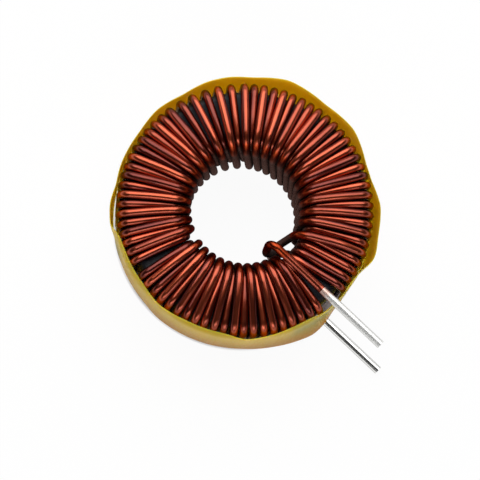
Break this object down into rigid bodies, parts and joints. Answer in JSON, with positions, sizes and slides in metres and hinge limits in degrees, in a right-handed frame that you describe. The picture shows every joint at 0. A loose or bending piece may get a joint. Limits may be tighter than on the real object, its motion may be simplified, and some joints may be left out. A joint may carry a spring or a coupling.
{
  "type": "toroidal inductor",
  "caption": "Toroidal power inductor: a ring core closely wound with enamelled copper wire, wrapped round the outside with clear amber film, with tinned wire leads on one side.",
  "frame": {"origin": "centre of the ring, midway between its flat faces", "axes": "+Z along the ring's axis, towards the side where the shorter lead leaves; +X along the leads, towards their tips"},
  "size_m": [0.0536, 0.042, 0.0177],
  "materials": {
    "core_coating": "smooth black epoxy coating",
    "enamelled_wire": "glossy clear red-brown enamel over copper",
    "amber_film": "clear amber film with a waxy sheen",
    "tin": "bright solder coat"
  },
  "bodies": {
    "root": {"core": "core_coating", "winding": "enamelled_wire", "tape": "amber_film", "top_tinned_end": "tin", "bottom_tinned_end": "tin"}
  },
  "joints": []
}
